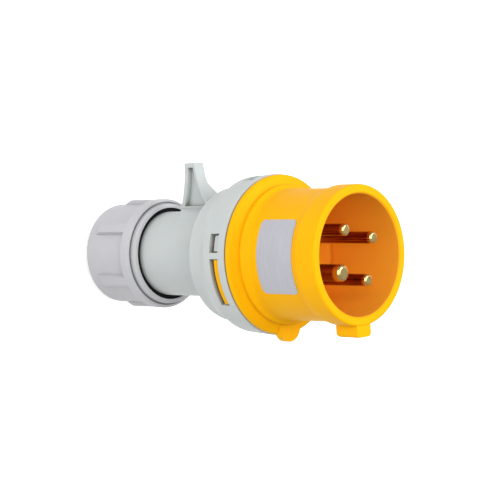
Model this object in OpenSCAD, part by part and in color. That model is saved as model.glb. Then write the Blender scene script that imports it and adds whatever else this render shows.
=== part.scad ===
// Industrial plug: contact pins in a round shroud, a rear housing with a cap horn, and a screwed cable gland.
// The axis is +Z, towards the mouth. The plug stands on its gland nut, and the horn points to +Y.

/* [Gland nut] */
// Length of the nut along the axis
nut_len = 32.6; // [30:0.1:40]
// Wall of the nut over its thread
nut_wall = 2.8; // [2.4:0.1:5]
// Thickness of the nut's rear wall, round the cable entry
nut_floor = 3.2; // [2:0.1:4]
// Radius of the cable entry
entry_r = 8.5; // [6:0.1:10]
// Number of grip ribs on the nut
rib_count = 6; // [4:1:10]
// Height of a grip rib over the nut's wall
rib_h = 2.0; // [1:0.1:3]
// Width of a grip rib at its crest
rib_w = 4.2; // [3:0.1:7]
// Turn of the first rib from the horn, at the tightened stop
rib_turn = 57; // [0:1:60]
// Rise of the collar at the nut's front over the ribs
collar_rise = 0.2; // [0.1:0.1:0.6]
// Length of that collar, with the bead in front of it
nut_front_len = 8.4; // [7:0.1:11]
// Width of the bead round the nut's front opening
nut_bead_w = 1.9; // [1.2:0.1:2.2]
// Rise of the bead over the collar's front
nut_bead_h = 2.5; // [1.5:0.1:3]

/* [Cable gland] */
// Thickness of the slip ring between the nut and the seal
slip_ring_t = 2.5; // [1.5:0.1:3.5]
// Length of the threaded spigot on the neck
spigot_len = 18.1; // [14:0.1:19]
// Rise of the thread over the neck
thread_step = 0.65; // [0.4:0.05:1.2]
// Depth of the thread below its crest
thread_depth = 0.9; // [0.6:0.05:1]
// Length of the guide land at the spigot's rear end
spigot_land = 2.5; // [1.5:0.1:4]
// Wall of the clamp cage
cage_wall = 2.2; // [1.5:0.1:3]
// Number of fingers on the clamp cage
finger_count = 8; // [4:1:12]
// Slot between two fingers
finger_slot = 1.6; // [1:0.1:2.5]
// Height of the solid ring that carries the fingers
cage_ring_h = 4.0; // [2:0.1:6]
// Depth of the cage's seat in the neck
seat_depth = 14.0; // [10:0.1:16]
// Section of the black seal ring at the front of the nut
seal_ring_w = 1.7; // [1:0.1:2.2]
// Depth of the seal ring below the nut's front
seal_ring_inset = 0.3; // [0.2:0.1:1]

/* [Rear housing] */
// Radius of the neck
neck_r = 18.65; // [17.5:0.05:21]
// Wall of the neck
neck_wall = 2.65; // [2:0.05:3.5]
// Length of neck that shows between the nut and the drum
neck_len = 39.7; // [36:0.1:55]
// Length of the drum, from its rear face to its front edge
drum_len = 25.9; // [25:0.1:32]
// Radius of the drum at its rear
drum_rear_r = 28.8; // [27:0.1:30.5]
// Radius of the drum at the windows
drum_r = 33.3; // [32:0.1:36]
// Rise of the pale lip at the drum's front edge
drum_lip = 0.8; // [0.3:0.1:1.2]
// Wall of the drum
drum_wall = 2.6; // [2:0.1:3]
// Length of the wide part of the drum
drum_front_len = 12.3; // [11.5:0.1:13.5]
// Length of the drum's plain rear, up to the middle of its flare
drum_rear_len = 7.0; // [6:0.1:8]

/* [Cap horn] */
// Height of the horn's tip from the axis
horn_h = 40.0; // [36:0.5:48]
// Width of the horn across the plug
horn_w = 5.6; // [5:0.1:9]
// Length of the horn's tip along the axis
horn_tip_len = 5.9; // [5:0.1:7]
// Distance from the nut's front to the rear of the horn's tip
horn_setback = 14.4; // [13:0.1:18]
// Backward lean of the horn's rear face, from its tip to the neck
horn_lean = 4.2; // [2:0.1:5]
// Slope of the horn's upper front face
horn_front_slope = 10.5; // [6:0.5:14]
// Slope of the gusset at the horn's foot
horn_gusset_slope = 44; // [36:1:46]
// Height from the axis at which the two front faces meet
horn_knee_h = 31; // [28:0.5:33]
// Softness of the bend between the two front faces
horn_knee_soft = 0.7; // [0.3:0.1:1.5]
// Widening of the horn's front wall at its foot, on each side
horn_flare = 4.8; // [3:0.1:5.2]
// Height over the neck at which the widening starts
horn_flare_h = 12.5; // [8:0.5:16]
// Rise of the saddle pad over the neck
pad_h = 1.9; // [1:0.1:2.5]
// Angle of the saddle pad round the neck
pad_span = 86; // [76:1:96]
// Distance from the pad's rear corner to the rear of the horn's tip
pad_setback = 3.5; // [2:0.1:5]
// Sweep of the pad's rear edges, towards the mouth
pad_sweep = 27; // [15:1:40]
// Rear and top wall of the horn round its cored sides
horn_wall = 2.0; // [1.2:0.1:2.4]
// Front wall of the horn
horn_front_wall_t = 1.2; // [0.8:0.1:2]
// Web in the middle of the horn
horn_web = 1.1; // [0.9:0.1:2]

/* [Latch windows] */
// Turn of the middle of a latch slot from the horn, on each side
side_slot_turn = 106.3; // [95:0.1:115]
// Angle of a tab window
tab_span = 13.6; // [10:0.1:18]
// Angle of the bar between a tab window and its slot
bar_span = 4.5; // [3:0.1:8]
// Angle of a latch slot
slot_span = 35.8; // [25:0.1:45]
// Width of a latch slot along the axis
slot_w = 5.0; // [4.8:0.1:5.4]
// Width of a tab window along the axis
tab_window_w = 5.1; // [4:0.1:5.4]
// Depth of a latch lug's crest below the drum's surface
lug_inset = 0.2; // [0.1:0.1:1]
// Distance of the windows from the drum's front edge
window_setback = 3.5; // [3:0.1:4.5]

/* [Shroud] */
// Length of the shroud in front of the housing
shroud_len = 44.2; // [43:0.1:55]
// Radius of the shroud's mouth
mouth_r = 25.1; // [24.5:0.1:26]
// Wall of the shroud at its waist
waist_wall = 2.4; // [2:0.1:3]
// Rise of the rim over the waist
rim_rise = 1.4; // [1:0.1:2]
// Rise over the waist of the bead beside the flange
bead_rise = 2.1; // [1.6:0.1:2.6]
// Length of the rim
rim_len = 11.0; // [9:0.1:13]
// Rise of the flange's edge over the drum that it closes
flange_rise = 0.4; // [0.2:0.1:1]
// Thickness of the flange at its edge
flange_t = 1.8; // [1.4:0.1:2.4]
// Thickness of the gasket under the flange
gasket_t = 0.6; // [0.4:0.1:1]
// Length of the skirt that slides into the drum
skirt_len = 9.0; // [8.8:0.1:9.5]
// Wall of the skirt
skirt_wall = 2.2; // [1.6:0.1:2.6]

/* [Contact insert] */
// Depth of the mouth down to the pin floor
mouth_depth = 37.5; // [36:0.1:40]
// Thickness of the pin floor
floor_t = 4.5; // [3.5:0.1:6]
// Step from the mouth out to the seat of the pin floor
insert_step = 1.1; // [0.8:0.1:1.4]
// Radius of the terminal block
block_r = 21.0; // [20:0.1:23]
// Length of the terminal block behind the pin floor
block_len = 17.0; // [15:0.1:17.4]

/* [Polarising key] */
// Width of the key under the rim
key_w = 8.6; // [7:0.1:10]
// Length of the key from the rim plane
key_len = 14.0; // [11:0.1:15]
// Height of the key's foot from the axis
key_h = 33.5; // [31:0.1:36]
// Width of the tab under the flange
tab_w = 13.0; // [10:0.1:16]
// Height of the tab's foot from the axis
tab_h = 37.0; // [36:0.1:40]
// Thickness of the tab along the axis
tab_t = 3.2; // [2:0.1:4]

/* [Contacts] */
// Radius of the circle that the pins stand on
pin_circle_r = 12.5; // [12:0.1:13]
// Radius of a phase pin
phase_r = 2.5; // [2:0.05:3]
// Radius of the earth pin
earth_r = 3.5; // [3:0.05:4]
// Rise of a pin's collar over its shank, in the hole of the pin floor
pin_collar = 0.3; // [0.2:0.05:0.5]
// Distance of the phase pins' tips behind the rim
phase_inset = 1.6; // [1:0.1:4]
// Distance of the earth pin's tip behind the rim
earth_inset = 0.2; // [0:0.1:2]
// Radius of a terminal barrel
barrel_r = 4.7; // [4.5:0.05:5]
// Radius of the wire hole in a barrel
wire_r = 2.4; // [1.8:0.1:2.8]
// Radius of a terminal screw
screw_r = 2.0; // [1.5:0.05:2.2]
// Thickness of the retainer plate behind the terminals
retainer_t = 3.0; // [2:0.1:4]
// Radius of a retainer screw
retainer_screw_r = 1.5; // [1.2:0.05:1.8]
// Length of a retainer screw in the block
retainer_screw_grip = 8.0; // [5:0.5:12]

/* [Label] */
// Length of the label along the axis
label_len = 19.0; // [12:0.5:20]
// Width of the label across its middle
label_w = 30.2; // [20:0.2:36]
// Turn of the label's middle from the horn
label_turn = 87; // [70:1:110]
// Thickness of the label
label_t = 0.15; // [0.1:0.01:0.3]

/* [Fits] */
// Clearance of the thread between the nut and the spigot
thread_gap = 0.08; // [0.04:0.01:0.1]
// Clearance of pieces that slide into one another
slide_gap = 0.15; // [0.1:0.01:0.25]
// Clearance of pins and screws in their holes
pin_gap = 0.05; // [0.03:0.01:0.1]

/* [Hidden] */
$fn = 96;
eps = 0.01;

// Colours of the mouldings, metals and rubbers
yellow = "#FFC20E";
grey = "#C9CCCB";
brass_gold = "#C9A24B";
zinc = "#B9BCC0";
rubber_black = "#1C1C1E";

// Stations along the axis, from the standing face up
nut_front_z = nut_len;
drum_rear_z = nut_front_z + neck_len;
drum_front_z = drum_rear_z + drum_len;
flange_z = drum_front_z + gasket_t;
rim_z = flange_z + shroud_len;
floor_front_z = rim_z - mouth_depth;
floor_rear_z = floor_front_z - floor_t;
block_z = floor_rear_z - block_len;
shoulder_z = drum_front_z - drum_front_len;
window_front_z = drum_front_z - window_setback;
nut_collar_z = nut_front_z - nut_front_len;

// Radii of the threaded gland, from the neck outwards and inwards
thread_r = neck_r + thread_step;
thread_root_r = thread_r - thread_depth;
nut_bore_r = thread_r + thread_gap;
nut_r = nut_bore_r + nut_wall;
collar_r = nut_r + rib_h + collar_rise;
neck_bore_r = neck_r - neck_wall;
cage_r = neck_bore_r - slide_gap;
seal_r = cage_r - cage_wall - pin_gap;
seat_r = (entry_r + seal_r) / 2;
nut_counterbore_r = neck_r + pin_gap + seal_ring_w + pin_gap;

// Stations inside the gland
slip_ring_z = nut_floor + pin_gap;
slip_ring_top_z = slip_ring_z + slip_ring_t;
seal_ring_h = 2.2;
spigot_top_z = nut_front_z - seal_ring_inset - seal_ring_h;
spigot_z = spigot_top_z - spigot_len;
seat_z = spigot_z + seat_depth;
seat_t = 3.0;

// Radii of the shells
drum_bore_r = drum_r - drum_wall;
drum_rear_bore_r = drum_rear_r - drum_wall;
skirt_r = drum_bore_r - slide_gap;
flange_r = drum_r + flange_rise;
waist_r = mouth_r + waist_wall;
rim_r = waist_r + rim_rise;
bead_r = waist_r + bead_rise;
lug_r = drum_r - lug_inset;
insert_seat_r = mouth_r + insert_step;

// Middles of the latch slots and of the tab windows above them
tab_turn = side_slot_turn - slot_span / 2 - bar_span - tab_span / 2;
slot_turns = [side_slot_turn, -side_slot_turn];
tab_turns = [tab_turn, -tab_turn];

// Snap bead of the pin floor, and the rib that keys it to the shroud
snap_h = 0.4;
snap_z = floor_rear_z + floor_t / 2;
index_w = 3.0;
index_h = 1.0;

// Pin places, clockwise from the horn as seen at the mouth
phase_turns = [330, 60, 150];
earth_turn = 240;
contact_turns = concat(phase_turns, [earth_turn]);
retainer_screw_turns = [15, 195];
retainer_screw_circle_r = pin_circle_r + 1.5;
terminal_screw_z = block_z + block_len * 0.4;

function unit(v) = v / norm(v);

// Points that round the corner b between a and c
function corner(a, b, c, radius, steps = 8) =
    radius == 0 ? [b] :
    let (
        u = unit(a - b),
        v = unit(c - b),
        half = acos(u * v) / 2,
        centre = b + unit(u + v) * radius / sin(half),
        from = b + u * radius / tan(half) - centre,
        to = b + v * radius / tan(half) - centre,
        start = atan2(from[1], from[0]),
        sweep = atan2(to[1], to[0]) - start,
        turn = sweep > 180 ? sweep - 360 : sweep < -180 ? sweep + 360 : sweep
    )
    [for (i = [0 : steps]) let (t = start + turn * i / steps) centre + radius * [cos(t), sin(t)]];

// A closed outline from points of the form [radius, height, corner radius]
function outline(points) =
    let (n = len(points), flat = [for (p = points) [p[0], p[1]]])
    [for (i = [0 : n - 1]) each corner(flat[(i + n - 1) % n], flat[i], flat[(i + 1) % n], points[i][2])];

module revolved(points) {
    rotate_extrude() polygon(outline(points));
}

// A revolved piece that spans an angle, counted from the horn towards -X
module revolved_sector(points, first, span) {
    rotate([0, 0, 90 + first]) rotate_extrude(angle = span) polygon(outline(points));
}

// A prism across the plug, from an outline of [height from the axis, station]
module across(width) {
    rotate([90, 0, 90]) linear_extrude(width, center = true) children();
}

module tube(outer_r, inner_r, z0, z1) {
    difference() {
        translate([0, 0, z0]) cylinder(r = outer_r, h = z1 - z0);
        translate([0, 0, z0 - eps]) cylinder(r = inner_r, h = z1 - z0 + 2 * eps);
    }
}

// Children turned clockwise from the horn and moved out from the axis
module at_turn(turn, radius) {
    rotate([0, 0, -turn]) translate([0, radius, 0]) children();
}

// Grip ribs with a ramp at the rear, running into the collar
module nut_ribs() {
    ramp_z = 4.5;
    ramp_len = 4.5;
    crest_r = nut_r + rib_h;
    foot_w = rib_w + 0.8;
    intersection() {
        revolved([
            [0, ramp_z, 0], [nut_r - 0.4, ramp_z, 0], [crest_r, ramp_z + ramp_len, 2.5],
            [crest_r, nut_collar_z + 1.5, 0], [0, nut_collar_z + 1.5, 0]
        ]);
        for (i = [0 : rib_count - 1])
            rotate([0, 0, rib_turn + i * 360 / rib_count])
                linear_extrude(nut_front_z)
                    polygon([
                        [-foot_w / 2, nut_r - 1], [foot_w / 2, nut_r - 1],
                        [rib_w / 2, crest_r + 1], [-rib_w / 2, crest_r + 1]
                    ]);
    }
}

// Nut with a plain collar, and a bead set off by a groove round its front opening
module gland_nut() {
    groove_w = 0.6;
    nut_bead_r = nut_counterbore_r + nut_bead_w;
    groove_r = nut_bead_r + groove_w;
    groove_depth = 1.0;
    brow_z = nut_front_z - nut_bead_h;
    groove_z = brow_z - groove_depth;
    color(grey) difference() {
        union() {
            revolved([
                [0, 0, 0], [nut_r, 0, 1.2], [nut_r, nut_collar_z - 0.6, 0.5],
                [collar_r, nut_collar_z + 0.8, 0.8], [collar_r, brow_z - 0.7, 0.9], [groove_r, brow_z, 0.3],
                [groove_r, groove_z, 0], [nut_bead_r, groove_z, 0], [nut_bead_r, nut_front_z, 0.9],
                [0, nut_front_z, 0]
            ]);
            nut_ribs();
        }
        translate([0, 0, -eps]) cylinder(r = entry_r, h = nut_floor + 2 * eps);
        translate([0, 0, nut_floor]) cylinder(r = nut_bore_r, h = nut_len);
        translate([0, 0, spigot_top_z]) cylinder(r = nut_counterbore_r, h = nut_len);
    }
}

module slip_ring() {
    color(zinc) revolved([
        [entry_r, slip_ring_z, 0.4], [nut_bore_r - slide_gap, slip_ring_z, 0.4],
        [nut_bore_r - slide_gap, slip_ring_top_z, 0.4], [entry_r, slip_ring_top_z, 0.4]
    ]);
}

// Fingers point to the nut and stand on a solid ring at the neck's seat
module clamp_cage() {
    tip_z = slip_ring_top_z + pin_gap;
    color(grey) difference() {
        revolved([
            [cage_r - cage_wall, tip_z, 0], [cage_r - 0.8, tip_z, 0.4], [cage_r, tip_z + 4, 0.5],
            [cage_r, seat_z, 0], [cage_r - cage_wall, seat_z, 0]
        ]);
        for (i = [0 : finger_count - 1])
            rotate([0, 0, i * 360 / finger_count])
                translate([0, -finger_slot / 2, tip_z - eps])
                    cube([cage_r + 1, finger_slot, seat_z - cage_ring_h - tip_z + eps]);
    }
}

module cable_seal() {
    tip_z = slip_ring_top_z + pin_gap;
    color(rubber_black) revolved([
        [entry_r, tip_z, 0.6], [seal_r, tip_z, 0.6], [seal_r, seat_z, 0], [entry_r, seat_z, 0.6]
    ]);
}

module nut_seal_ring() {
    inner_r = neck_r + pin_gap;
    color(rubber_black) revolved([
        [inner_r, spigot_top_z + pin_gap, 0.3], [inner_r + seal_ring_w, spigot_top_z + pin_gap, 0.6],
        [inner_r + seal_ring_w, spigot_top_z + seal_ring_h, 0.8], [inner_r, spigot_top_z + seal_ring_h, 0.6]
    ]);
}

// Station of the horn's front at a height from the axis: a column that bends softly into a gusset
function horn_front_z(height) =
    let (
        tip_z = nut_front_z + horn_setback + horn_tip_len,
        column = tip_z + tan(horn_front_slope) * (horn_h - height),
        knee_z = tip_z + tan(horn_front_slope) * (horn_h - horn_knee_h),
        gusset = knee_z + tan(horn_gusset_slope) * (horn_knee_h - height)
    )
    (column + gusset) / 2 + norm([(column - gusset) / 2, horn_knee_soft]);

// Station of the horn's rear face, which leans back towards its foot
function horn_rear_z(height) =
    nut_front_z + horn_setback - horn_lean * pow((horn_h - height) / (horn_h - neck_r), 2);

// Side outline of the horn from foot to top, moved inwards by its walls
module horn_outline(foot_r, top_r, front_wall, rear_wall) {
    steps = 18;
    heights = [for (i = [0 : steps]) foot_r + (top_r - foot_r) * i / steps];
    polygon(concat(
        [for (h = heights) [h, horn_front_z(h) - front_wall]],
        [for (i = [steps : -1 : 0]) [heights[i], horn_rear_z(heights[i]) + rear_wall]]
    ));
}

// Front wall of the horn, which widens towards its foot
module horn_front_wall(foot_r) {
    foot_half = horn_w / 2 + horn_flare;
    flare_top_r = neck_r + horn_flare_h;
    intersection() {
        across(2 * foot_half)
            difference() {
                horn_outline(foot_r, horn_h, 0, 0);
                horn_outline(foot_r - 1, horn_h + 1, horn_front_wall_t, -nut_len);
            }
        linear_extrude(drum_rear_z)
            polygon([
                [-foot_half, foot_r], [foot_half, foot_r], [horn_w / 2, flare_top_r],
                [horn_w / 2, horn_h], [-horn_w / 2, horn_h], [-horn_w / 2, flare_top_r]
            ]);
    }
}

// Hook for a hinged cap: cored on both sides of a web, with its pockets closed by the front wall
module horn() {
    foot_r = neck_r - neck_wall / 2;
    floor_rise = 0.6;
    pocket_floor_r = neck_r + pad_h + floor_rise;
    pocket_top_r = horn_h - horn_wall;
    difference() {
        across(horn_w) horn_outline(foot_r, horn_h, 0, 0);
        for (side = [-1, 1])
            translate([side * (horn_web + horn_w) / 2, 0, 0])
                across(horn_w) horn_outline(pocket_floor_r, pocket_top_r, -horn_front_wall_t, horn_wall);
    }
    horn_front_wall(foot_r);
}

// Crowned pad that runs out into the neck at its sides, with a rear edge like an arrow
module saddle_pad() {
    pad_z = nut_front_z + horn_setback - pad_setback;
    side_z = pad_z + neck_r * tan(pad_sweep);
    front_z = drum_rear_z + 1;
    pad_r = neck_r + pad_h;
    offset_y = (pow(pad_r, 2) - pow(neck_r, 2)) / (pad_r - neck_r * cos(pad_span / 2)) / 2;
    intersection() {
        translate([0, offset_y, 0]) cylinder(r = pad_r - offset_y, h = front_z);
        rotate([90, 0, 0])
            linear_extrude(2 * pad_r + 2, center = true)
                polygon([
                    [0, pad_z], [neck_r, side_z], [neck_r, front_z], [-neck_r, front_z], [-neck_r, side_z]
                ]);
    }
}

// Spigot with a guide land below its thread, neck, and drum that flares in a hollow curve up to a shoulder
module housing_outer() {
    land_z = spigot_z + spigot_land;
    flare_z = drum_rear_z + drum_rear_len;
    flare_r = drum_rear_r + 0.4;
    revolved([
        [0, spigot_z, 0], [thread_r, spigot_z, 0.6], [thread_r, land_z, 0], [thread_root_r, land_z, 0],
        [thread_root_r, spigot_top_z, 0], [neck_r, spigot_top_z, 0], [neck_r, drum_rear_z, 0.8],
        [drum_rear_r, drum_rear_z, 1.4], [flare_r, flare_z, 14], [drum_r, shoulder_z, 2],
        [drum_r + drum_lip, drum_front_z, 0.9], [0, drum_front_z, 0]
    ]);
}

module housing_cavity() {
    rear_wall_z = drum_rear_z + drum_wall;
    revolved([
        [0, spigot_z - 1, 0], [neck_bore_r, spigot_z - 1, 0], [neck_bore_r, seat_z, 0], [seat_r, seat_z, 0],
        [seat_r, seat_z + seat_t, 0], [neck_bore_r, seat_z + seat_t + 2, 0], [neck_bore_r, rear_wall_z, 1],
        [drum_rear_bore_r, rear_wall_z, 1.4], [drum_rear_bore_r, shoulder_z - 4.5, 2],
        [drum_bore_r, shoulder_z + 0.8, 1], [drum_bore_r, drum_front_z + 1, 0], [0, drum_front_z + 1, 0]
    ]);
}

module window(middle, span, width) {
    outer_r = drum_r + drum_lip + 1;
    inner_r = drum_bore_r - 1;
    rear_z = window_front_z - width;
    revolved_sector([
        [inner_r, rear_z, 0], [outer_r, rear_z, 0], [outer_r, window_front_z, 0], [inner_r, window_front_z, 0]
    ], middle - span / 2, span);
}

// Tab window that leaves a spring tongue standing, joined to the drum at its front end
module tab_window(middle, span) {
    side_gap = 1.0;
    rear_gap = 1.6;
    tongue_inset = 0.8;
    inner_r = drum_bore_r - 2;
    tongue_span = span - 2 * side_gap;
    tongue_z = window_front_z - tab_window_w + rear_gap;
    difference() {
        window(middle, span, tab_window_w);
        revolved_sector([
            [inner_r, tongue_z, 0], [drum_r - tongue_inset, tongue_z, 0.4],
            [drum_r, window_front_z + 1, 0], [inner_r, window_front_z + 1, 0]
        ], middle - tongue_span / 2, tongue_span);
    }
}

module rear_housing() {
    color(grey) difference() {
        union() {
            housing_outer();
            saddle_pad();
            horn();
        }
        housing_cavity();
        tab_window(0, slot_span);
        for (turn = tab_turns) tab_window(turn, tab_span);
        for (turn = slot_turns) window(turn, slot_span, slot_w);
    }
}

module flange_gasket() {
    edge_inset = 0.9;
    bore_gap = 0.2;
    color(rubber_black) tube(drum_r - edge_inset, drum_bore_r + bore_gap, drum_front_z, flange_z);
}

// Flange, bead, waist and rim, with the skirt behind the flange
module shroud_outer() {
    foot_z = flange_z + flange_t;
    crease_z = foot_z + 1.5;
    bead_z = crease_z + 1.9;
    step_z = bead_z + 1.1;
    waist_z = step_z + 1.7;
    rim_foot_z = rim_z - rim_len;
    revolved([
        [0, flange_z, 0], [flange_r, flange_z, 0.3], [flange_r, foot_z, 1.2], [bead_r - 0.4, crease_z, 0.2],
        [bead_r, bead_z, 1.1], [waist_r + 0.5, step_z, 0.2], [waist_r, waist_z, 1.0],
        [waist_r, rim_foot_z - 1.6, 2.5], [rim_r, rim_foot_z + 1.2, 6], [rim_r, rim_z, 1.0], [0, rim_z, 0]
    ]);
    tube(skirt_r, skirt_r - skirt_wall, flange_z - skirt_len, flange_z + eps);
}

// Mouth, and the seat behind it for the contact insert with its snap groove
module shroud_bore() {
    edge = 0.6;
    groove_half = snap_h + slide_gap;
    revolved([
        [0, flange_z - 1, 0], [insert_seat_r, flange_z - 1, 0], [insert_seat_r, snap_z - groove_half, 0],
        [insert_seat_r + snap_h, snap_z, 0], [insert_seat_r, snap_z + groove_half, 0],
        [insert_seat_r, floor_front_z, 0], [mouth_r, floor_front_z, 0], [mouth_r, rim_z - edge, 0],
        [mouth_r + edge, rim_z + eps, 0], [0, rim_z + eps, 0]
    ]);
}

// Rib at the horn's side, or its notch when grown by a gap, that keeps the insert from turning
module index_rib(gap) {
    inner_r = insert_seat_r - index_h - gap;
    width = index_w + 2 * gap;
    translate([-width / 2, inner_r, flange_z])
        cube([width, index_h + gap + insert_step / 2, floor_front_z - flange_z]);
}

// Lugs on the skirt that snap into the latch slots
module latch_lug(middle) {
    crest_len = 2.8;
    ramp_len = 1.8;
    end_gap = 0.6;
    lug_span = slot_span - 2 * end_gap;
    inner_r = skirt_r - skirt_wall / 2;
    lug_front_z = window_front_z - slide_gap;
    crest_rear_z = lug_front_z - crest_len;
    lug_rear_z = crest_rear_z - ramp_len;
    revolved_sector([
        [inner_r, lug_rear_z, 0], [lug_r, crest_rear_z, 0.3],
        [lug_r, lug_front_z, 0.2], [inner_r, lug_front_z, 0]
    ], middle - lug_span / 2, lug_span);
}

// Key under the rim, with a round rear end and a rounded foot
module key() {
    foot_round = 1.6;
    rim_setback = 0.4;
    round_r = key_w / 2;
    translate([0, 0, rim_z - key_len + round_r]) {
        rotate([90, 0, 0])
            revolved([[0, mouth_r, 0], [round_r, mouth_r, 0], [round_r, key_h, foot_round], [0, key_h, 0]]);
        linear_extrude(key_len - round_r - rim_setback)
            polygon(outline([
                [-round_r, -mouth_r, 0], [-round_r, -key_h, foot_round],
                [round_r, -key_h, foot_round], [round_r, -mouth_r, 0]
            ]));
    }
}

// Tab under the flange, with a round end
module flange_tab() {
    round_r = tab_w / 2;
    translate([0, round_r - tab_h, flange_z]) {
        cylinder(r = round_r, h = tab_t);
        translate([-round_r, 0, 0]) cube([tab_w, tab_h - round_r - waist_r, tab_t]);
    }
}

module contact_holes(turn, radius) {
    access_gap = 0.6;
    at_turn(turn, pin_circle_r) {
        translate([0, 0, floor_rear_z - eps])
            cylinder(r = radius + pin_collar + pin_gap, h = floor_t + 2 * eps);
        translate([0, 0, block_z - eps]) cylinder(r = barrel_r + slide_gap, h = block_len + eps);
        translate([0, 0, terminal_screw_z])
            rotate([-90, 0, 0]) cylinder(r = screw_r + access_gap, h = block_r);
    }
}

module shroud() {
    color(yellow) {
        difference() {
            union() {
                shroud_outer();
                key();
                flange_tab();
                for (turn = slot_turns) latch_lug(turn);
            }
            shroud_bore();
        }
        index_rib(0);
    }
}

// Pin floor that snaps into the shroud from behind, with the terminal block on it
module contact_insert() {
    floor_r = insert_seat_r - slide_gap;
    floor_top_z = floor_front_z - pin_gap;
    color(yellow) difference() {
        union() {
            revolved([
                [0, floor_rear_z, 0], [floor_r, floor_rear_z, 0.4], [floor_r, snap_z - snap_h, 0],
                [floor_r + snap_h, snap_z, 0], [floor_r, snap_z + snap_h, 0], [floor_r, floor_top_z, 0.3],
                [0, floor_top_z, 0]
            ]);
            translate([0, 0, block_z]) cylinder(r = block_r, h = block_len + eps);
        }
        index_rib(slide_gap);
        for (turn = phase_turns) contact_holes(turn, phase_r);
        contact_holes(earth_turn, earth_r);
        for (turn = retainer_screw_turns)
            at_turn(turn, retainer_screw_circle_r)
                translate([0, 0, block_z - eps])
                    cylinder(r = retainer_screw_r + pin_gap, h = retainer_screw_grip + 0.5);
    }
}

// Turned contact: a pin with a rounded tip, a collar in the floor, and a barrel with a wire and a screw hole
module contact(turn, radius, inset) {
    tip_z = rim_z - inset;
    tip_round = radius * 0.4;
    collar_r = radius + pin_collar;
    shoulder_top_z = floor_rear_z - pin_gap;
    barrel_z = block_z + pin_gap;
    wire_depth = block_len * 0.7;
    color(brass_gold) at_turn(turn, pin_circle_r) difference() {
        revolved([
            [0, barrel_z, 0], [barrel_r, barrel_z, 0.4], [barrel_r, shoulder_top_z, 0.4],
            [collar_r, shoulder_top_z, 0], [collar_r, floor_front_z, 0.1], [radius, floor_front_z, 0],
            [radius, tip_z, tip_round], [0, tip_z, 0]
        ]);
        translate([0, 0, barrel_z - eps]) cylinder(r = wire_r, h = wire_depth);
        translate([0, 0, terminal_screw_z])
            rotate([-90, 0, 0]) cylinder(r = screw_r + pin_gap, h = barrel_r + 1);
    }
}

module phase_pin_1() { contact(phase_turns[0], phase_r, phase_inset); }
module phase_pin_2() { contact(phase_turns[1], phase_r, phase_inset); }
module phase_pin_3() { contact(phase_turns[2], phase_r, phase_inset); }
module earth_pin() { contact(earth_turn, earth_r, earth_inset); }

// Slotted screws that press on the wires, one for each barrel
module terminal_screws() {
    slot_w = 0.8;
    slot_depth = 1.0;
    foot = wire_r + pin_gap;
    top = block_r - pin_circle_r - 0.4;
    color(zinc)
        for (turn = contact_turns)
            at_turn(turn, pin_circle_r)
                translate([0, 0, terminal_screw_z])
                    rotate([-90, 0, 0])
                        difference() {
                            translate([0, 0, foot]) cylinder(r = screw_r, h = top - foot);
                            translate([-screw_r - 1, -slot_w / 2, top - slot_depth])
                                cube([2 * screw_r + 2, slot_w, slot_depth + 1]);
                        }
}

// Plate that holds the barrels in the block and lets the wires through
module pin_retainer() {
    plate_r = block_r - 0.5;
    wire_gap = 0.5;
    color("#3A3C40") difference() {
        revolved([
            [0, block_z - retainer_t, 0], [plate_r, block_z - retainer_t, 0.8],
            [plate_r, block_z, 0.4], [0, block_z, 0]
        ]);
        for (turn = contact_turns)
            at_turn(turn, pin_circle_r)
                translate([0, 0, block_z - retainer_t - eps])
                    cylinder(r = wire_r + wire_gap, h = retainer_t + 2 * eps);
        for (turn = retainer_screw_turns)
            at_turn(turn, retainer_screw_circle_r)
                translate([0, 0, block_z - retainer_t - eps])
                    cylinder(r = retainer_screw_r + pin_gap, h = retainer_t + 2 * eps);
    }
}

module retainer_screws() {
    head_r = retainer_screw_r * 1.8;
    head_h = retainer_screw_r * 1.2;
    slot_w = 0.7;
    color(zinc)
        for (turn = retainer_screw_turns)
            at_turn(turn, retainer_screw_circle_r)
                translate([0, 0, block_z - retainer_t])
                    difference() {
                        union() {
                            translate([0, 0, -head_h]) cylinder(r = head_r, h = head_h);
                            cylinder(r = retainer_screw_r, h = retainer_t + retainer_screw_grip);
                        }
                        translate([-head_r - 1, -slot_w / 2, -head_h - eps])
                            cube([2 * head_r + 2, slot_w, head_h * 0.5]);
                    }
}

// Bare label on the waist, with round corners
module blank_label() {
    gap = 0.02;
    round_r = 2;
    rim_gap = 2.3;
    side_x = label_w / 2;
    label_front_z = rim_z - rim_len - rim_gap;
    label_rear_z = label_front_z - label_len;
    backing_r = waist_r * 0.7;
    color("#BFC3C6") intersection() {
        tube(waist_r + gap + label_t, waist_r + gap, label_rear_z - 1, label_front_z + 1);
        rotate([0, 0, label_turn + 180])
            translate([0, -backing_r, 0])
                rotate([90, 0, 0])
                    linear_extrude(rim_r - backing_r + 1)
                        polygon(outline([
                            [-side_x, label_rear_z, round_r], [side_x, label_rear_z, round_r],
                            [side_x, label_front_z, round_r], [-side_x, label_front_z, round_r]
                        ]));
    }
}

shroud();
contact_insert();
rear_housing();
gland_nut();
slip_ring();
clamp_cage();
cable_seal();
nut_seal_ring();
flange_gasket();
phase_pin_1();
phase_pin_2();
phase_pin_3();
earth_pin();
terminal_screws();
pin_retainer();
retainer_screws();
blank_label();
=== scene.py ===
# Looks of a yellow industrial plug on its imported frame: moulded plastics, brass contacts, rubber seals,
# a bare film label, the screw thread of the neck, and a pale studio with the photograph's camera.
import math

import bpy
from mathutils import Matrix, Vector


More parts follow.
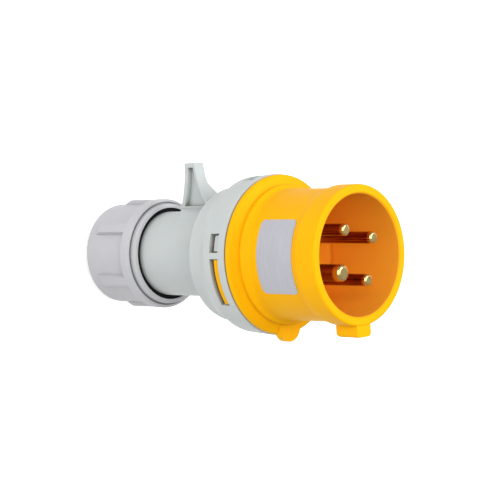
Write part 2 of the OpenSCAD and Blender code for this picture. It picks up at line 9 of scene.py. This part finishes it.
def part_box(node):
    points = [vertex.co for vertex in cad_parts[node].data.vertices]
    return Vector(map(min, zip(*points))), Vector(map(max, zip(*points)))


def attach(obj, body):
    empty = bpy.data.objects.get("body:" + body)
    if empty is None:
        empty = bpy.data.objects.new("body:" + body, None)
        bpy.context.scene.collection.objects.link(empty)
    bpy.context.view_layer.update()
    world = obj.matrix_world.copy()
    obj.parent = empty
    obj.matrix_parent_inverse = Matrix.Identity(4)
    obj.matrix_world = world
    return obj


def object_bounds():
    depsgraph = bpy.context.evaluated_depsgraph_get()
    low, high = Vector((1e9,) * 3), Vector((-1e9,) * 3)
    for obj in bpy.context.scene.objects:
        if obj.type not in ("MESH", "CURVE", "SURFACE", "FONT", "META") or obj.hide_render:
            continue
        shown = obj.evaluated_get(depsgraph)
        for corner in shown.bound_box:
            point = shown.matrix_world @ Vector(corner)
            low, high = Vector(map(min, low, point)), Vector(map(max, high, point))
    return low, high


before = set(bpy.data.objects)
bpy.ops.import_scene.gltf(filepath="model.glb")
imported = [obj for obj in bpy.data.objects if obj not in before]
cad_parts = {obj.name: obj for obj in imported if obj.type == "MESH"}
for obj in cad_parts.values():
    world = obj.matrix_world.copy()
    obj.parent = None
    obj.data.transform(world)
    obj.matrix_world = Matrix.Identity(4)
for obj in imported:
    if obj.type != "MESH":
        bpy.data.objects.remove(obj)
cad_low, cad_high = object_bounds()

MM = 0.001

# Colour sockets of a Mix node, which share their names with its other sockets
MIX_A = 6
MIX_B = 7
MIX_RESULT = 2

# Band that holds most values of a noise texture
NOISE_LOW = 0.3
NOISE_HIGH = 0.7

# Scale at which a wave texture repeats once in a unit, as its bands turn through 20 radians there
WAVE_UNIT = math.tau / 20

# Camera, fitted to the photograph: all angles in degrees, distances in metres
LENS_MM = 129.6
SENSOR_MM = 36.0
RIM_DISTANCE = 0.7304
AXIS_TO_SIGHT = 50.01
HORN_TURN = 5.5
AIM_PAN = -3.528
AIM_TILT = -0.129
AIM_ROLL = -0.556

# Softboxes round the plug: metres to the far side, up in the picture and along the axis,
# then width and height in metres, and watts
SOFTBOXES = {
    "side_softbox": ((-1.0, 0.05, 0.12), (1.0, 0.25), 1.2),
    "mouth_softbox": ((0.42, 0.28, 1.0), (0.6, 0.6), 6.0),
    "camera_softbox": ((-0.6, 0.14, 0.9), (0.8, 0.8), 7.6),
    "far_softbox": ((0.95, 0.3, 0.35), (0.5, 0.5), 0.7),
}

# Strength of the room's light, and of the floor's own white as the camera sees it
ROOM_LEVEL = 0.34
FLOOR_GLOW = 0.6

# Half the floor's width, in metres, and its depth under the tightened nut, in millimetres.
# The depth leaves room to run the nut down 6 mm
FLOOR_HALF = 3.0
FLOOR_DROP = 7.0

# Length of the pale end of a contact pin above the shank's painted shade, and a radius just over the
# shroud's mouth, within which the mouth's shade is painted, in millimetres
PIN_END = 2.4
MOUTH_REACH = 25.3

# Screw thread of the neck, in millimetres, and its steps in a turn. The pitch is the nut's travel in a turn
THREAD = {
    "Root Radius": 18.4,
    "Ridge Height": 0.85,
    "Foot Width": 1.9,
    "Crest Width": 0.8,
    "Pitch": 3.0,
}
THREAD_STEPS = 96

# Clear lengths of the spigot below and above the thread, in millimetres
THREAD_LAND = 3.4
THREAD_GAP = 0.8

# Share of the thread's length that runs out at each end, and the share of its size that is left there
RUN_OUT = 0.06
RUN_OUT_SIZE = 0.2


def linear(hex_colour):
    """An sRGB hex colour as the linear RGBA that sockets take."""
    parts = [int(hex_colour[i:i + 2], 16) / 255 for i in (1, 3, 5)]
    return [p / 12.92 if p <= 0.04045 else ((p + 0.055) / 1.055) ** 2.4 for p in parts] + [1.0]


def per_mm(size):
    """Texture scale that repeats a pattern once in this many millimetres."""
    return 1.0 / (size * MM)


def add(tree, kind, inputs=None, **settings):
    """Adds a node. Inputs are constants, or sockets to link from. Settings are the node's own properties."""
    node = tree.nodes.new(kind)
    for name, value in settings.items():
        setattr(node, name, value)
    for name, value in (inputs or {}).items():
        if isinstance(value, bpy.types.NodeSocket):
            tree.links.new(value, node.inputs[name])
        else:
            node.inputs[name].default_value = value
    return node


def empty_material(name):
    material = bpy.data.materials.new(name)
    material.use_nodes = True
    material.node_tree.nodes.clear()
    return material


def moulded_plastic(name, colour, flow_colour, crease_shade_colour, roughness, shine, grain_mm, grain_depth_mm,
                    mouth_shade_colour=None):
    """Injection-moulded nylon: faint flow clouds, the fine pitting of an eroded mould, and painted shade in
    its creases.

    The real grain is about 0.1 mm. It is drawn coarser here, because the render's pixel is 0.4 mm wide.
    The crease colour is painted shade, laid into grooves, pockets and seams where little open sky reaches,
    which gives the mouldings their crisp lines.
    The mouth colour is painted shade: it tints what lies within the shroud's mouth in the deeper orange that
    the shaded cavity shows.
    """
    flow_mm = 14.0
    flow_low = 0.35
    flow_high = 0.65
    roughness_spread = 0.05
    # Reach of a crease, the shares of open sky at which its painted shade starts and is darkest,
    # and how much of it then shows
    crease_mm = 3.0
    crease_open = 0.8
    crease_deep = 0.2
    most_painted_shade = 0.8
    material = empty_material(name)
    tree = material.node_tree
    place = add(tree, "ShaderNodeTexCoord").outputs["Object"]
    flow = add(tree, "ShaderNodeTexNoise", {"Vector": place, "Scale": per_mm(flow_mm), "Detail": 3.0})
    clouds = add(tree, "ShaderNodeMapRange", {
        "Value": flow.outputs["Fac"], "From Min": flow_low, "From Max": flow_high})
    tint = add(tree, "ShaderNodeMix", {
        "Factor": clouds.outputs["Result"], MIX_A: linear(colour), MIX_B: linear(flow_colour)},
        data_type="RGBA")
    # Painted shade: within the shroud's mouth the colour turns to the deeper orange of the shaded cavity
    if mouth_shade_colour:
        across = add(tree, "ShaderNodeVectorMath", {0: place, 1: (1.0, 1.0, 0.0)}, operation="MULTIPLY")
        radius = add(tree, "ShaderNodeVectorMath", {0: across.outputs["Vector"]}, operation="LENGTH")
        within = add(tree, "ShaderNodeMath", {
            0: radius.outputs["Value"], 1: MOUTH_REACH * MM}, operation="LESS_THAN")
        tint = add(tree, "ShaderNodeMix", {
            "Factor": within.outputs["Value"], MIX_A: tint.outputs[MIX_RESULT], MIX_B: linear(mouth_shade_colour)},
            data_type="RGBA")
    # Painted shade: creases darken toward the crease colour where ambient occlusion finds little open sky
    creases = add(tree, "ShaderNodeAmbientOcclusion", {"Distance": crease_mm * MM}, samples=8)
    painted_crease_shade = add(tree, "ShaderNodeMapRange", {
        "Value": creases.outputs["AO"], "From Min": crease_deep, "From Max": crease_open,
        "To Min": most_painted_shade, "To Max": 0.0})
    crease_shaded_tint = add(tree, "ShaderNodeMix", {
        "Factor": painted_crease_shade.outputs["Result"], MIX_A: tint.outputs[MIX_RESULT], MIX_B: linear(crease_shade_colour)},
        data_type="RGBA")
    grain = add(tree, "ShaderNodeTexNoise", {
        "Vector": place, "Scale": per_mm(grain_mm), "Detail": 2.0, "Roughness": 0.6})
    sheen = add(tree, "ShaderNodeMapRange", {
        "Value": grain.outputs["Fac"], "From Min": NOISE_LOW, "From Max": NOISE_HIGH,
        "To Min": roughness - roughness_spread, "To Max": roughness + roughness_spread})
    pits = add(tree, "ShaderNodeBump", {
        "Height": grain.outputs["Fac"], "Strength": 0.6, "Distance": grain_depth_mm * MM})
    skin = add(tree, "ShaderNodeBsdfPrincipled", {
        "Base Color": crease_shaded_tint.outputs[MIX_RESULT], "Roughness": sheen.outputs["Result"], "IOR": 1.53,
        "Specular IOR Level": shine, "Normal": pits.outputs["Normal"]})
    add(tree, "ShaderNodeOutputMaterial", {"Surface": skin.outputs["BSDF"]})
    return material


def turned_brass():
    """Turned brass: a pale end in the metal's own colour, a shank painted browner with the shade and orange
    reflection of the mouth, with long streaks, and faint tool rings.

    Real tool rings and streaks are about 0.1 mm apart. Both are drawn coarser here, so that they show.
    """
    ring_mm = 3.14
    ring_depth_mm = 0.01
    streak_mm = 1.1
    streak_low = 0.38
    streak_high = 0.62
    stretch = 12.0
    smoothest = 0.14
    roughest = 0.26
    tip_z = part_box("phase_pin_1")[1].z
    material = empty_material("turned_brass")
    tree = material.node_tree
    place = add(tree, "ShaderNodeTexCoord").outputs["Object"]
    height = add(tree, "ShaderNodeSeparateXYZ", {"Vector": place}).outputs["Z"]
    # Painted shade and reflection: below its pale end the shank turns browner, standing in for the shaded
    # orange mouth it reflects
    pale_tip_mask = add(tree, "ShaderNodeMapRange", {
        "Value": height, "From Min": tip_z - PIN_END * MM, "From Max": tip_z - PIN_END * MM / 2})
    drawn = add(tree, "ShaderNodeMapping", {"Vector": place, "Scale": (1.0, 1.0, 1.0 / stretch)})
    streaks = add(tree, "ShaderNodeTexNoise", {
        "Vector": drawn.outputs["Vector"], "Scale": per_mm(streak_mm), "Detail": 4.0})
    spread = add(tree, "ShaderNodeMapRange", {
        "Value": streaks.outputs["Fac"], "From Min": streak_low, "From Max": streak_high})
    shank = add(tree, "ShaderNodeMix", {
        "Factor": spread.outputs["Result"], MIX_A: linear("#A4663C"), MIX_B: linear("#783C26")},
        data_type="RGBA")
    tint = add(tree, "ShaderNodeMix", {
        "Factor": pale_tip_mask.outputs["Result"], MIX_A: shank.outputs[MIX_RESULT], MIX_B: linear("#E8CB86")},
        data_type="RGBA")
    rings = add(tree, "ShaderNodeTexWave", {
        "Vector": place, "Scale": per_mm(ring_mm) * WAVE_UNIT, "Distortion": 0.4, "Detail": 1.0},
        bands_direction="Z")
    gloss = add(tree, "ShaderNodeMapRange", {
        "Value": streaks.outputs["Fac"], "From Min": NOISE_LOW, "From Max": NOISE_HIGH,
        "To Min": smoothest, "To Max": roughest})
    marks = add(tree, "ShaderNodeBump", {
        "Height": rings.outputs["Fac"], "Strength": 0.25, "Distance": ring_depth_mm * MM})
    skin = add(tree, "ShaderNodeBsdfPrincipled", {
        "Base Color": tint.outputs[MIX_RESULT], "Metallic": 1.0, "Roughness": gloss.outputs["Result"],
        "Normal": marks.outputs["Normal"]})
    add(tree, "ShaderNodeOutputMaterial", {"Surface": skin.outputs["BSDF"]})
    return material


def zinc_plated_steel():
    """Zinc plated steel: grey, slightly blue, with a soft mottle."""
    mottle_mm = 0.8
    smoothest = 0.25
    roughest = 0.4
    material = empty_material("zinc_plated_steel")
    tree = material.node_tree
    place = add(tree, "ShaderNodeTexCoord").outputs["Object"]
    mottle = add(tree, "ShaderNodeTexNoise", {"Vector": place, "Scale": per_mm(mottle_mm), "Detail": 3.0})
    tint = add(tree, "ShaderNodeMix", {
        "Factor": mottle.outputs["Fac"], MIX_A: linear("#C4C8CE"), MIX_B: linear("#A4A9B0")},
        data_type="RGBA")
    gloss = add(tree, "ShaderNodeMapRange", {
        "Value": mottle.outputs["Fac"], "From Min": NOISE_LOW, "From Max": NOISE_HIGH,
        "To Min": smoothest, "To Max": roughest})
    skin = add(tree, "ShaderNodeBsdfPrincipled", {
        "Base Color": tint.outputs[MIX_RESULT], "Metallic": 1.0, "Roughness": gloss.outputs["Result"]})
    add(tree, "ShaderNodeOutputMaterial", {"Surface": skin.outputs["BSDF"]})
    return material


def moulded_rubber():
    """Black moulded rubber: matt, with a dusty bloom in cloudy patches, and a grain drawn coarse to show."""
    bloom_mm = 5.0
    grain_mm = 0.6
    grain_depth_mm = 0.03
    material = empty_material("moulded_rubber")
    tree = material.node_tree
    place = add(tree, "ShaderNodeTexCoord").outputs["Object"]
    bloom = add(tree, "ShaderNodeTexNoise", {"Vector": place, "Scale": per_mm(bloom_mm), "Detail": 4.0})
    tint = add(tree, "ShaderNodeMix", {
        "Factor": bloom.outputs["Fac"], MIX_A: linear("#070708"), MIX_B: linear("#0E0E10")},
        data_type="RGBA")
    grain = add(tree, "ShaderNodeTexNoise", {"Vector": place, "Scale": per_mm(grain_mm), "Detail": 2.0})
    pits = add(tree, "ShaderNodeBump", {
        "Height": grain.outputs["Fac"], "Strength": 0.5, "Distance": grain_depth_mm * MM})
    skin = add(tree, "ShaderNodeBsdfPrincipled", {
        "Base Color": tint.outputs[MIX_RESULT], "Roughness": 0.72, "IOR": 1.52, "Specular IOR Level": 0.2,
        "Normal": pits.outputs["Normal"]})
    add(tree, "ShaderNodeOutputMaterial", {"Surface": skin.outputs["BSDF"]})
    return material


def label_film():
    """Silver polyester film: a satin metal sheen, brushed round the plug in fine streaks.

    Real brush marks are about 0.1 mm apart. They are drawn coarser here, so that they show.
    """
    streak_mm = 0.9
    stretch = 14.0
    smoothest = 0.36
    roughest = 0.48
    material = empty_material("silver_label_film")
    tree = material.node_tree
    place = add(tree, "ShaderNodeTexCoord").outputs["Object"]
    drawn = add(tree, "ShaderNodeMapping", {"Vector": place, "Scale": (1.0 / stretch, 1.0 / stretch, 1.0)})
    streaks = add(tree, "ShaderNodeTexNoise", {
        "Vector": drawn.outputs["Vector"], "Scale": per_mm(streak_mm), "Detail": 3.0})
    tint = add(tree, "ShaderNodeMix", {
        "Factor": streaks.outputs["Fac"], MIX_A: linear("#B3B4BC"), MIX_B: linear("#A3A4AC")},
        data_type="RGBA")
    gloss = add(tree, "ShaderNodeMapRange", {
        "Value": streaks.outputs["Fac"], "From Min": NOISE_LOW, "From Max": NOISE_HIGH,
        "To Min": smoothest, "To Max": roughest})
    skin = add(tree, "ShaderNodeBsdfPrincipled", {
        "Base Color": tint.outputs[MIX_RESULT], "Metallic": 0.35, "Roughness": gloss.outputs["Result"]})
    add(tree, "ShaderNodeOutputMaterial", {"Surface": skin.outputs["BSDF"]})
    return material


def white_floor():
    """Matt white paint. It shows white to the camera and in gloss, and still takes the plug's shadow."""
    material = empty_material("white_floor")
    tree = material.node_tree
    path = add(tree, "ShaderNodeLightPath")
    seen = add(tree, "ShaderNodeMath", {
        0: path.outputs["Is Camera Ray"], 1: path.outputs["Is Glossy Ray"]}, operation="MAXIMUM")
    seen_or_through = add(tree, "ShaderNodeMath", {
        0: seen.outputs["Value"], 1: path.outputs["Is Transmission Ray"]}, operation="MAXIMUM")
    lift = add(tree, "ShaderNodeMath", {
        0: seen_or_through.outputs["Value"], 1: FLOOR_GLOW}, operation="MULTIPLY")
    paint = add(tree, "ShaderNodeBsdfDiffuse", {"Color": linear("#F2F2F2")})
    glow = add(tree, "ShaderNodeEmission", {"Color": linear("#FFFFFF"), "Strength": lift.outputs["Value"]})
    both = add(tree, "ShaderNodeAddShader", {0: paint.outputs["BSDF"], 1: glow.outputs["Emission"]})
    add(tree, "ShaderNodeOutputMaterial", {"Surface": both.outputs["Shader"]})
    return material


def dress_nodes():
    """Gives every CAD node its finish, and returns the finishes by node."""
    # Each crease colour is painted shade for the grooves, pockets and seams of its moulding
    yellow = moulded_plastic(
        "yellow_nylon_moulding", colour="#FFBB05", flow_colour="#FFB803", crease_shade_colour="#C87A04",
        mouth_shade_colour="#FFAC30", roughness=0.5, shine=0.06, grain_mm=1.2, grain_depth_mm=0.02)
    # Painted shade: the contact insert takes the deeper orange that the shade inside the mouth shows, as the
    # mouth colour does
    mouth_shaded_yellow = moulded_plastic(
        "mouth_shaded_yellow_moulding", colour="#FFAC30", flow_colour="#FCA92C", crease_shade_colour="#C87220",
        roughness=0.5, shine=0.1, grain_mm=1.2, grain_depth_mm=0.02)
    grey = moulded_plastic(
        "grey_nylon_moulding", colour="#C9CECD", flow_colour="#C5CBCA", crease_shade_colour="#6A6A60",
        roughness=0.46, shine=0.14, grain_mm=1.0, grain_depth_mm=0.03)
    nut_grey = moulded_plastic(
        "grey_nut_moulding", colour="#CACACD", flow_colour="#C6C6CA", crease_shade_colour="#7F7D77",
        roughness=0.48, shine=0.14, grain_mm=1.0, grain_depth_mm=0.03)
    white = moulded_plastic(
        "white_nylon_moulding", colour="#E4E2DB", flow_colour="#DEDCD4", crease_shade_colour="#8A877E",
        roughness=0.42, shine=0.2, grain_mm=1.0, grain_depth_mm=0.02)
    dark = moulded_plastic(
        "dark_nylon_moulding", colour="#3A3C40", flow_colour="#36383C", crease_shade_colour="#1E1F21",
        roughness=0.5, shine=0.2, grain_mm=1.0, grain_depth_mm=0.03)
    brass = turned_brass()
    zinc = zinc_plated_steel()
    rubber = moulded_rubber()
    finishes = {
        "shroud": yellow,
        "contact_insert": mouth_shaded_yellow,
        "rear_housing": grey,
        "clamp_cage": grey,
        "gland_nut": nut_grey,
        "slip_ring": white,
        "pin_retainer": dark,
        "cable_seal": rubber,
        "nut_seal_ring": rubber,
        "flange_gasket": rubber,
        "phase_pin_1": brass,
        "phase_pin_2": brass,
        "phase_pin_3": brass,
        "earth_pin": brass,
        "terminal_screws": zinc,
        "retainer_screws": zinc,
        "blank_label": label_film(),
    }
    for name, finish in finishes.items():
        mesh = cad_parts[name].data
        mesh.materials.clear()
        mesh.materials.append(finish)
    return finishes


def wound_ridge():
    """Node tree of a ridge with a trapezoid section, wound up a spigot and running out at both ends."""
    tree = bpy.data.node_groups.new("wound_ridge", "GeometryNodeTree")
    for size in [*THREAD, "Start", "Length"]:
        tree.interface.new_socket(size, in_out="INPUT", socket_type="NodeSocketFloat")
    tree.interface.new_socket("Finish", in_out="INPUT", socket_type="NodeSocketMaterial")
    tree.interface.new_socket("Geometry", in_out="OUTPUT", socket_type="NodeSocketGeometry")
    sizes = add(tree, "NodeGroupInput").outputs
    turns = add(tree, "ShaderNodeMath", {0: sizes["Length"], 1: sizes["Pitch"]}, operation="DIVIDE")
    half_height = add(tree, "ShaderNodeMath", {0: sizes["Ridge Height"], 1: 0.5}, operation="MULTIPLY")
    middle = add(tree, "ShaderNodeMath", {
        0: sizes["Root Radius"], 1: half_height.outputs["Value"]}, operation="ADD")
    helix = add(tree, "GeometryNodeCurveSpiral", {
        "Resolution": THREAD_STEPS, "Rotations": turns.outputs["Value"],
        "Start Radius": middle.outputs["Value"], "End Radius": middle.outputs["Value"],
        "Height": sizes["Length"], "Reverse": True})
    upright = add(tree, "GeometryNodeSetCurveNormal", {"Curve": helix.outputs["Curve"]}, mode="Z_UP")
    section = add(tree, "GeometryNodeCurvePrimitiveQuadrilateral", {
        "Height": sizes["Ridge Height"], "Bottom Width": sizes["Foot Width"],
        "Top Width": sizes["Crest Width"], "Offset": 0.0}, mode="TRAPEZOID")
    outward = add(tree, "GeometryNodeTransform", {
        "Geometry": section.outputs["Curve"], "Rotation": (0.0, 0.0, -math.pi / 2)})
    along = add(tree, "GeometryNodeSplineParameter").outputs["Factor"]
    from_end = add(tree, "ShaderNodeMath", {0: 1.0, 1: along}, operation="SUBTRACT")
    nearest_end = add(tree, "ShaderNodeMath", {0: along, 1: from_end.outputs["Value"]}, operation="MINIMUM")
    run_out = add(tree, "ShaderNodeMapRange", {
        "Value": nearest_end.outputs["Value"], "From Max": RUN_OUT, "To Min": RUN_OUT_SIZE, "To Max": 1.0})
    ridge = add(tree, "GeometryNodeCurveToMesh", {
        "Curve": upright.outputs["Curve"], "Profile Curve": outward.outputs["Geometry"],
        "Scale": run_out.outputs["Result"], "Fill Caps": True})
    lift = add(tree, "ShaderNodeCombineXYZ", {"Z": sizes["Start"]})
    placed = add(tree, "GeometryNodeTransform", {
        "Geometry": ridge.outputs["Mesh"], "Translation": lift.outputs["Vector"]})
    real = add(tree, "GeometryNodeRealizeInstances", {"Geometry": placed.outputs["Geometry"]})
    dressed = add(tree, "GeometryNodeSetMaterial", {
        "Geometry": real.outputs["Geometry"], "Material": sizes["Finish"]})
    add(tree, "NodeGroupOutput", {"Geometry": dressed.outputs["Geometry"]})
    return tree


def thread_the_neck(finish):
    """Winds the thread on the neck's spigot, between its guide land and the seal ring, under the nut."""
    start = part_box("rear_housing")[0].z + THREAD_LAND * MM
    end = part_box("nut_seal_ring")[0].z - THREAD_GAP * MM
    values = {size: value * MM for size, value in THREAD.items()}
    values.update({"Start": start, "Length": end - start, "Finish": finish})
    thread = bpy.data.objects.new("neck_thread", bpy.data.meshes.new("neck_thread_seed"))
    bpy.context.scene.collection.objects.link(thread)
    rule = thread.modifiers.new("wound_ridge", "NODES")
    rule.node_group = wound_ridge()
    for socket in rule.node_group.interface.items_tree:
        if socket.in_out == "INPUT":
            rule[socket.identifier] = values[socket.name]
    evaluated = thread.evaluated_get(bpy.context.evaluated_depsgraph_get())
    thread.data = bpy.data.meshes.new_from_object(evaluated)
    thread.modifiers.clear()
    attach(thread, "plug_body")


def sight_axes():
    """Directions of the photograph in the plug's frame: along the axis, to the far side, and up in it."""
    turn = math.radians(HORN_TURN)
    axis = Vector((0, 0, 1))
    far = Vector((math.cos(turn), -math.sin(turn), 0))
    up = Vector((math.sin(turn), math.cos(turn), 0))
    return axis, far, up


def place_camera():
    axis, far, up = sight_axes()
    swing = math.radians(AXIS_TO_SIGHT)
    rim_centre = Vector((0, 0, cad_high.z))
    back = axis * math.cos(swing) - far * math.sin(swing)
    right = axis * math.sin(swing) + far * math.cos(swing)
    stand = Matrix((right, up, back)).transposed()
    aim = (Matrix.Rotation(math.radians(AIM_ROLL), 3, "Z") @ Matrix.Rotation(math.radians(AIM_TILT), 3, "X")
           @ Matrix.Rotation(math.radians(AIM_PAN), 3, "Y"))
    data = bpy.data.cameras.new("photo_camera")
    data.lens = LENS_MM
    data.sensor_width = SENSOR_MM
    data.clip_start = 0.05
    data.clip_end = 20.0
    camera = bpy.data.objects.new("photo_camera", data)
    bpy.context.scene.collection.objects.link(camera)
    camera.matrix_world = Matrix.Translation(rim_centre + back * RIM_DISTANCE) @ (
        stand @ aim.transposed()).to_4x4()
    bpy.context.scene.camera = camera


def softbox(name, place, target, size, power):
    data = bpy.data.lights.new(name, "AREA")
    data.shape = "RECTANGLE"
    data.size, data.size_y = size
    data.energy = power
    lamp = bpy.data.objects.new(name, data)
    lamp.location = place
    lamp.rotation_euler = (target - place).to_track_quat("-Z", "Y").to_euler()
    bpy.context.scene.collection.objects.link(lamp)


def light_studio():
    """Softboxes beside and before the plug, and on its far side, in an even white room."""
    axis, far, up = sight_axes()
    middle = Vector((0, 0, cad_high.z / 2))
    for name, (place, size, watts) in SOFTBOXES.items():
        softbox(name, middle + far * place[0] + up * place[1] + axis * place[2], middle, size, watts)
    world = bpy.data.worlds.new("white_room")
    world.use_nodes = True
    tree = world.node_tree
    tree.nodes.clear()
    path = add(tree, "ShaderNodeLightPath")
    seen = add(tree, "ShaderNodeMath", {
        0: path.outputs["Is Camera Ray"], 1: path.outputs["Is Transmission Ray"]}, operation="MAXIMUM")
    level = add(tree, "ShaderNodeMapRange", {
        "Value": seen.outputs["Value"], "To Min": ROOM_LEVEL, "To Max": 1.0})
    room = add(tree, "ShaderNodeBackground", {
        "Color": linear("#FFFFFF"), "Strength": level.outputs["Result"]})
    add(tree, "ShaderNodeOutputWorld", {"Surface": room.outputs["Background"]})
    bpy.context.scene.world = world


def lay_floor():
    half = FLOOR_HALF
    level = -FLOOR_DROP * MM
    corners = [(-half, -half, level), (half, -half, level), (half, half, level), (-half, half, level)]
    mesh = bpy.data.meshes.new("floor")
    mesh.from_pydata(corners, [], [(0, 1, 2, 3)])
    mesh.materials.append(white_floor())
    floor = bpy.data.objects.new("floor", mesh)
    bpy.context.scene.collection.objects.link(floor)


finishes = dress_nodes()
thread_the_neck(finishes["rear_housing"])
place_camera()
light_studio()
lay_floor()
bpy.context.scene.view_settings.view_transform = "Standard"
